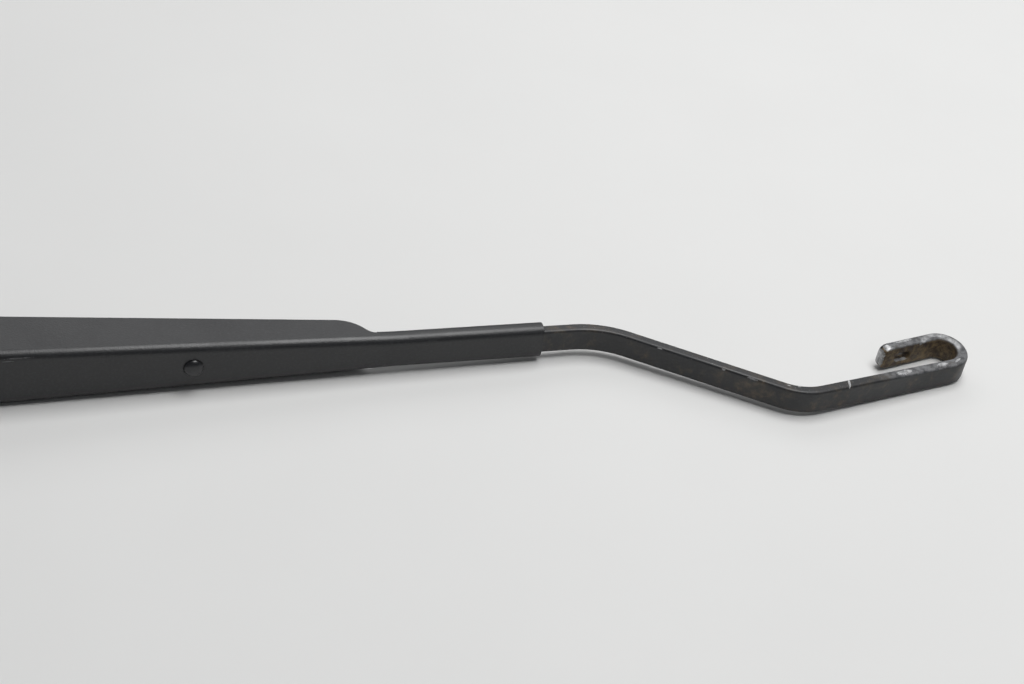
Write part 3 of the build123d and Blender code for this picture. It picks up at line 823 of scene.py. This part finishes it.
def spots(tree, place, marks, ragged=0.7, per_metre=1500.0):
    """Mask that is 1 inside a list of ragged ellipses, each given by centre, reach and turn."""
    swing = calc(tree, "SUBTRACT", noise(tree, place, per_metre, detail=3.0), 0.5)
    torn = calc(tree, "MULTIPLY", swing, ragged * 2)
    mask = None
    for mark in marks:
        distance = calc(tree, "ADD", ellipse(tree, place, *mark), torn)
        spot = spread(tree, distance, 1.05, 0.70)
        mask = spot if mask is None else calc(tree, "MAXIMUM", mask, spot)
    return mask


print("paint and mask functions are ready")

# %% [markdown]
# ## Wear on the bar
# The bar is the part that gets handled and that the blade rubs on. Its paint is dull and dirty, with small
# faint chips along the edges. Round the hook the rims are rubbed to grey, with bare steel where the adaptor
# scraped and at the sheared tip, and the inside is brown. In the slot, a strip of bright steel colour on the
# lower wall is a painted highlight where light falls in. Noise alone could scatter such marks, but not where
# hands and blade leave them, so they are placed one by one and only torn by noise. Each is a centre and a
# reach in millimetres, and a turn in degrees.

# %% Bar finish
RISE_TURN = LIFT_BEND[1]
STRAND_TURN = RISE_TURN + FALL_BEND[1]
RETURN_TURN = STRAND_TURN + HOOK_BENDS[0][1] + HOOK_BENDS[1][1] - 180
HOOK_CENTRE = (438.0, -31.5, 0.0)
SCRAPES_AND_SLOT_HIGHLIGHT = [
    ((393.9, -46.6, 4.4), (0.5, 3.0, 1.0), -17.6),
    ((417.0, -43.4, 4.4), (3.4, 1.2, 0.9), STRAND_TURN),
    ((433.4, -40.8, 4.4), (2.4, 1.0, 0.8), STRAND_TURN),
    ((440.4, -39.2, 4.3), (1.8, 0.5, 0.6), 30.0),
    ((431.5, -28.3, 3.9), (0.6, 0.5, 0.6), 0.0),
    ((425.3, -26.6, 4.2), (4.0, 0.6, 0.7), RETURN_TURN),
    ((417.0, -29.6, 4.4), (2.0, 1.7, 1.0), RETURN_TURN),
    ((415.4, -29.3, 0.0), (0.7, 3.0, 5.5), RETURN_TURN),
    # Not a scrape: bright steel colour on the front strip of the slot's lower wall, a painted highlight
    # where light falls into the slot.
    ((424.3, -29.0, -1.9), (4.0, 0.9, 0.35), RETURN_TURN),
]
CHIPS = [
    ((316.4, -10.6, 4.2), (0.6, 0.4, 0.5), -20.0),
    ((333.6, -21.2, 4.2), (1.2, 0.4, 0.4), RISE_TURN),
    ((352.0, -34.4, 4.1), (0.7, 0.4, 0.4), RISE_TURN),
    ((360.2, -40.4, 4.1), (2.0, 0.4, 0.4), RISE_TURN),
    ((302.6, -8.6, -4.0), (0.7, 0.5, 0.5), 0.0),
    ((371.6, -45.6, 4.3), (1.0, 0.4, 0.4), -30.0),
    ((375.0, -46.6, 4.3), (0.7, 0.4, 0.4), -8.0),
    ((404.5, -47.6, -3.9), (0.8, 0.4, 0.5), STRAND_TURN),
    ((424.0, -45.0, -3.6), (0.7, 0.4, 0.5), STRAND_TURN),
]
DIRTY_FACE = ((361.6, -41.4, 0.0), (8.0, 3.0, 4.5), RISE_TURN)
HOOK_ZONE = ((430.0, -34.0, 0.0), (32.0, 17.0, 30.0), STRAND_TURN)
RETURN_INSIDE = ((425.0, -33.0, 0.0), (24.0, 6.0, 40.0), RETURN_TURN)
BEND_INSIDE = (HOOK_CENTRE, (6.6, 6.6, 40.0))
SCRAPE_OUTER, SCRAPE_INNER = (HOOK_CENTRE, (7.9, 7.9, 40.0)), (HOOK_CENTRE, (5.9, 5.9, 40.0))
SCRAPE_REACH = ((439.4, -28.0, 4.5), (9.0, 8.0, 1.3))
RIM_START, RIM_FULL = 3.6 * MM, 4.4 * MM


def narrow_faces(tree, place):
    """1 on the two narrow faces of the bar, and 0 on its broad ones."""
    return spread(tree, height_across(tree, place), RIM_START, RIM_FULL)


def hook_nearness(tree, place):
    """1 round the hook and its return, and 0 further down the bar."""
    return spread(tree, ellipse(tree, place, *HOOK_ZONE), 1.0, 0.66)


def hook_inside(tree, place):
    """1 on the faces that line the hook, which the blade's adaptor touches."""
    bend = spread(tree, ellipse(tree, place, *BEND_INSIDE), 1.04, 0.99)
    leg = spread(tree, ellipse(tree, place, *RETURN_INSIDE), 1.12, 1.0)
    broad = calc(tree, "SUBTRACT", 1.0, narrow_faces(tree, place))
    return calc(tree, "MULTIPLY", calc(tree, "MAXIMUM", bend, leg), broad)


def scraped_arc(tree, place):
    """The band along the hook's upper rim that the adaptor has scraped bright."""
    outer = spread(tree, ellipse(tree, place, *SCRAPE_OUTER), 1.06, 0.92)
    inner = spread(tree, ellipse(tree, place, *SCRAPE_INNER), 0.94, 1.08)
    reach = spread(tree, ellipse(tree, place, *SCRAPE_REACH), 1.0, 0.7)
    worn = spread(tree, noise(tree, place, 480.0, detail=4.0, rough=0.6), 0.32, 0.6, 0.35, 1.0)
    band = calc(tree, "MULTIPLY", outer, inner)
    return calc(tree, "MULTIPLY", band, calc(tree, "MULTIPLY", reach, worn))


def bar_bared_and_highlit(tree, place):
    """Scrapes, fainter chips and specks along the edges, and a painted highlight of bright steel colour in
    the slot.
    """
    chips = calc(tree, "MULTIPLY", spots(tree, place, CHIPS), 0.6)
    grit = spread(tree, noise(tree, place, 1900.0, detail=2.0), 0.66, 0.72)
    specks = calc(tree, "MULTIPLY", calc(tree, "MULTIPLY", grit, narrow_faces(tree, place)), 0.35)
    scrapes_and_highlight = calc(tree, "MAXIMUM", spots(tree, place, SCRAPES_AND_SLOT_HIGHLIGHT), scraped_arc(tree, place))
    return calc(tree, "MAXIMUM", scrapes_and_highlight, calc(tree, "MAXIMUM", chips, specks))


def bar_rubbed(tree, place):
    """The hook's two rims, where the film is worn unevenly thin."""
    blotch = noise(tree, place, 500.0, detail=5.0, rough=0.65)
    rim = calc(tree, "MULTIPLY", hook_nearness(tree, place), narrow_faces(tree, place))
    return calc(tree, "MULTIPLY", rim, spread(tree, blotch, 0.35, 0.62, 0.2, 1.0))


def bar_hazed(tree, place):
    """Road dirt: thin everywhere, thicker on one worn face, full inside the hook."""
    cloud = noise(tree, place, 190.0, detail=6.0, rough=0.65)
    film = spread(tree, cloud, 0.46, 0.76, 0.0, 0.35)
    caked = spots(tree, place, [DIRTY_FACE], 0.8, 260.0)
    patch = calc(tree, "MULTIPLY", caked, spread(tree, cloud, 0.3, 0.7, 0.05, 0.4))
    inside = calc(tree, "MULTIPLY", hook_inside(tree, place), spread(tree, cloud, 0.25, 0.6, 0.6, 1.0))
    return calc(tree, "MAXIMUM", film, calc(tree, "MAXIMUM", patch, inside))


bar_paint = satin_paint("bar_paint", gloss=(0.40, 0.55), peel_per_metre=900.0, peel_depth=0.03 * MM,
                        hazed=bar_hazed, rubbed=bar_rubbed, bared_and_highlit=bar_bared_and_highlit)
# The count of scrapes includes the painted highlight in the slot.
print("bar finish:", bar_paint.name, len(SCRAPES_AND_SLOT_HIGHLIGHT), "scrapes and", len(CHIPS), "chips")

# %% [markdown]
# ## The other finishes
# The channel, rivet and hinge pin have the same paint in better order. The casting under its paint
# is a little pebbled, the cap is a textured moulding, the bushes are undyed acetal, and the link,
# spring and link pin are bare metal with an oily, streaked sheen. All of them are a few functions with
# different numbers, because they differ in colour, grain and gloss and in nothing else.

# %% Other finishes
GLOSS_SWING = 0.06
STREAK_GLOSS, STREAK_DEPTH = 0.15, 0.008 * MM
FOLD_SCUFFS = [((124.0, -10.0, 8.3), (4.5, 0.6, 0.22), 0.0), ((121.0, -10.0, 7.4), (2.0, 0.6, 0.15), 0.0)]


def channel_bared(tree, place):
    """A few fine scuffs on the web, close to the fold."""
    return calc(tree, "MULTIPLY", spots(tree, place, FOLD_SCUFFS, 0.9, 1200.0), 0.2)


channel_paint = satin_paint("channel_paint", gloss=(0.36, 0.45), peel_per_metre=1900.0, peel_depth=0.07 * MM,
                            bared_and_highlit=channel_bared)
rivet_paint = satin_paint("rivet_paint", gloss=(0.30, 0.38), peel_per_metre=1500.0, peel_depth=0.01 * MM)
cast_paint = satin_paint("cast_paint", gloss=(0.40, 0.52), peel_per_metre=700.0, peel_depth=0.04 * MM)


def moulded_plastic(name, dark, light, roughness, grain_per_metre, grain_depth):
    """A moulded plastic with a fine texture and slightly uneven colour."""
    finish, tree, shader, place = new_finish(name)
    grain = noise(tree, place, grain_per_metre, detail=2.0)
    feed(tree, shader.inputs["Base Color"], mix(tree, noise(tree, place, 60.0, detail=4.0), dark, light))
    sheen = spread(tree, grain, 0.3, 0.7, roughness - GLOSS_SWING, roughness + GLOSS_SWING)
    feed(tree, shader.inputs["Roughness"], sheen)
    bump(tree, shader, grain, grain_depth)
    return finish


def drawn_steel(name, dark, light, roughness, stretch):
    """Bare steel with streaks along the direction that it was drawn or ground."""
    finish, tree, shader, place = new_finish(name)
    streak = noise(tree, place, 900.0, detail=4.0, rough=0.65, stretch=stretch)
    cloud = noise(tree, place, 120.0, detail=5.0)
    feed(tree, shader.inputs["Base Color"], mix(tree, calc(tree, "MULTIPLY", streak, cloud), dark, light))
    sheen = spread(tree, streak, 0.3, 0.7, roughness, roughness + STREAK_GLOSS)
    feed(tree, shader.inputs["Roughness"], sheen)
    shader.inputs["Metallic"].default_value = 0.95
    bump(tree, shader, streak, STREAK_DEPTH)
    return finish


cap_plastic = moulded_plastic("cap_plastic", (0.012, 0.012, 0.013, 1), (0.022, 0.022, 0.023, 1),
                              roughness=0.5, grain_per_metre=1600.0, grain_depth=0.03 * MM)
acetal = moulded_plastic("acetal", (0.62, 0.60, 0.53, 1), (0.72, 0.70, 0.64, 1),
                         roughness=0.42, grain_per_metre=500.0, grain_depth=0.01 * MM)
link_zinc = drawn_steel("link_zinc", (0.30, 0.285, 0.23, 1), (0.66, 0.63, 0.54, 1),
                        roughness=0.32, stretch=(0.1, 1, 1))
spring_steel = drawn_steel("spring_steel", (0.13, 0.125, 0.12, 1), (0.42, 0.40, 0.37, 1),
                           roughness=0.30, stretch=(1, 1, 1))
pin_steel = drawn_steel("pin_steel", (0.40, 0.40, 0.40, 1), (0.70, 0.70, 0.69, 1),
                        roughness=0.22, stretch=(1, 1, 0.1))
print("finishes:", [m.name for m in bpy.data.materials])

# %% [markdown]
# ## Smooth shading, bodies and slots
# Every piece is shaded smooth up to a fair angle and given weighted normals, so that the flat faces stay
# flat and only the rounded edges turn. Each piece then rides on its body and takes its finish, and the CAD
# node that it stands for is hidden.

# %% Dress every piece
DRESSING = [
    (hook_bar, "arm", "arm_bar", "bar_paint", bar_paint),
    (folded_channel, "arm", "channel", "channel_paint", channel_paint),
    (dome_rivet, "arm", "bar_rivet", "rivet_paint", rivet_paint),
    (riveted_pin, "arm", "hinge_pin", "pin_paint", rivet_paint),
    (spindle_head, "head", "arm_head", "cast_paint", cast_paint),
    (upper_bush, "head", "hinge_bush_upper", "bush", acetal),
    (lower_bush, "head", "hinge_bush_lower", "bush", acetal),
    (link_pin, "head", "anchor_pin", "pin_steel", pin_steel),
    (cap_moulding, "cap", "nut_cap", "cap", cap_plastic),
    (hooked_link, "link", "spring_link", "link_steel", link_zinc),
    (coil_spring, "spring", "tension_spring", "spring_steel", spring_steel),
]
SMOOTH_UP_TO = radians(32)

for piece, body, node, slot, finish in DRESSING:
    deselect_all()
    piece.select_set(True)
    bpy.context.view_layer.objects.active = piece
    bpy.ops.object.shade_smooth_by_angle(angle=SMOOTH_UP_TO)
    apply_modifier(piece, "WEIGHTED_NORMAL", keep_sharp=True)
    piece.data.materials.clear()
    piece.data.materials.append(finish)
    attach(piece, body)
    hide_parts(node)
    print(piece.name, "rides on", body, "with", len(piece.data.polygons), "faces")
